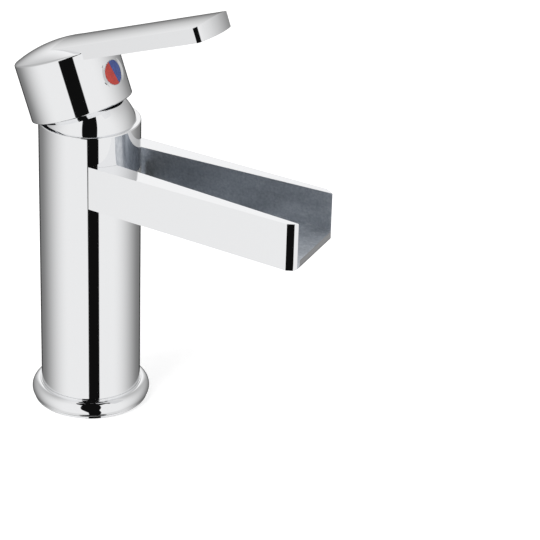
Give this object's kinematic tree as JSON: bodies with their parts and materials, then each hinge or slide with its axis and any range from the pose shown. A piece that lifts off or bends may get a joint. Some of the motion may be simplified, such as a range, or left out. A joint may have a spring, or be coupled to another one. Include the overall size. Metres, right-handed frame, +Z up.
{
  "type": "waterfall basin faucet",
  "caption": "Deck-mounted basin faucet with an open trough spout that pours a wide stream; its lever lifts for flow and turns for temperature.",
  "frame": {"origin": "centre of the base flange on the deck surface, on the axis of the body", "axes": "+Z up along the body, +X out along the spout, +Y to the cold side; hot is on the -Y side"},
  "size_m": [0.1445, 0.0534, 0.2589],
  "materials": {
    "chrome": "mirror-polished chrome plate",
    "trough_chrome": "polished chrome plate outside, rough as-cast plate inside the trough",
    "brass": "machined, unpolished",
    "copper": "drawn copper tube",
    "steel": "zinc-plated steel",
    "rubber": "matt black",
    "white_plastic": "moulded",
    "grey_plastic": "moulded",
    "ceramic": "lapped",
    "index_ring": "smooth, light grey",
    "index_red": "smooth",
    "index_blue": "smooth"
  },
  "bodies": {
    "tap": {"body_tube": "chrome", "spout_trough": "trough_chrome", "base_flange": "chrome", "base_gasket": "rubber", "inlet_block": "brass", "hot_riser": "copper", "cold_riser": "copper", "valve_seat": "brass", "seat_ring": "rubber", "port_seals": "rubber", "cartridge_base": "grey_plastic", "fixed_disc": "ceramic", "cartridge_housing": "white_plastic", "cartridge_nut": "brass", "trim_dome": "chrome", "mounting_stud": "steel"},
    "rotor": {"cartridge_rotor": "white_plastic", "neck_seal": "rubber", "pivot_pin": "steel"},
    "lever": {"handle_lever": "chrome", "lever_stem": "brass", "grub_screw": "steel", "index_plug": "index_ring", "index_red": "index_red", "index_blue": "index_blue"},
    "carrier": {"disc_carrier": "grey_plastic", "moving_disc": "ceramic"},
    "clamp": {"clamp_gasket": "rubber", "clamp_washer": "steel", "stud_nut": "brass"}
  },
  "joints": [
    {"name": "temperature_turn", "type": "hinge", "parent": "tap", "child": "rotor", "pos_m": [0, 0, 0.1305], "axis": [0, 0, 1], "range_deg": [-39, 51]},
    {"name": "flow_lift", "type": "hinge", "parent": "rotor", "child": "lever", "pos_m": [0, 0, 0.1305], "axis": [-0.1045, -0.9945, 0], "range_deg": [-20.6, 0]},
    {"name": "disc_slide", "type": "slide", "parent": "rotor", "child": "carrier", "axis": [0.9945, -0.1045, 0], "range_m": [-0.00387, 0]},
    {"name": "clamp_slide", "type": "slide", "parent": "tap", "child": "clamp", "axis": [0, 0, 1], "range_m": [-0.026, 0.014]}
  ],
  "couplings": [
    {"joint": "disc_slide", "follows": "flow_lift", "m_per_rad": 0.010764}
  ]
}
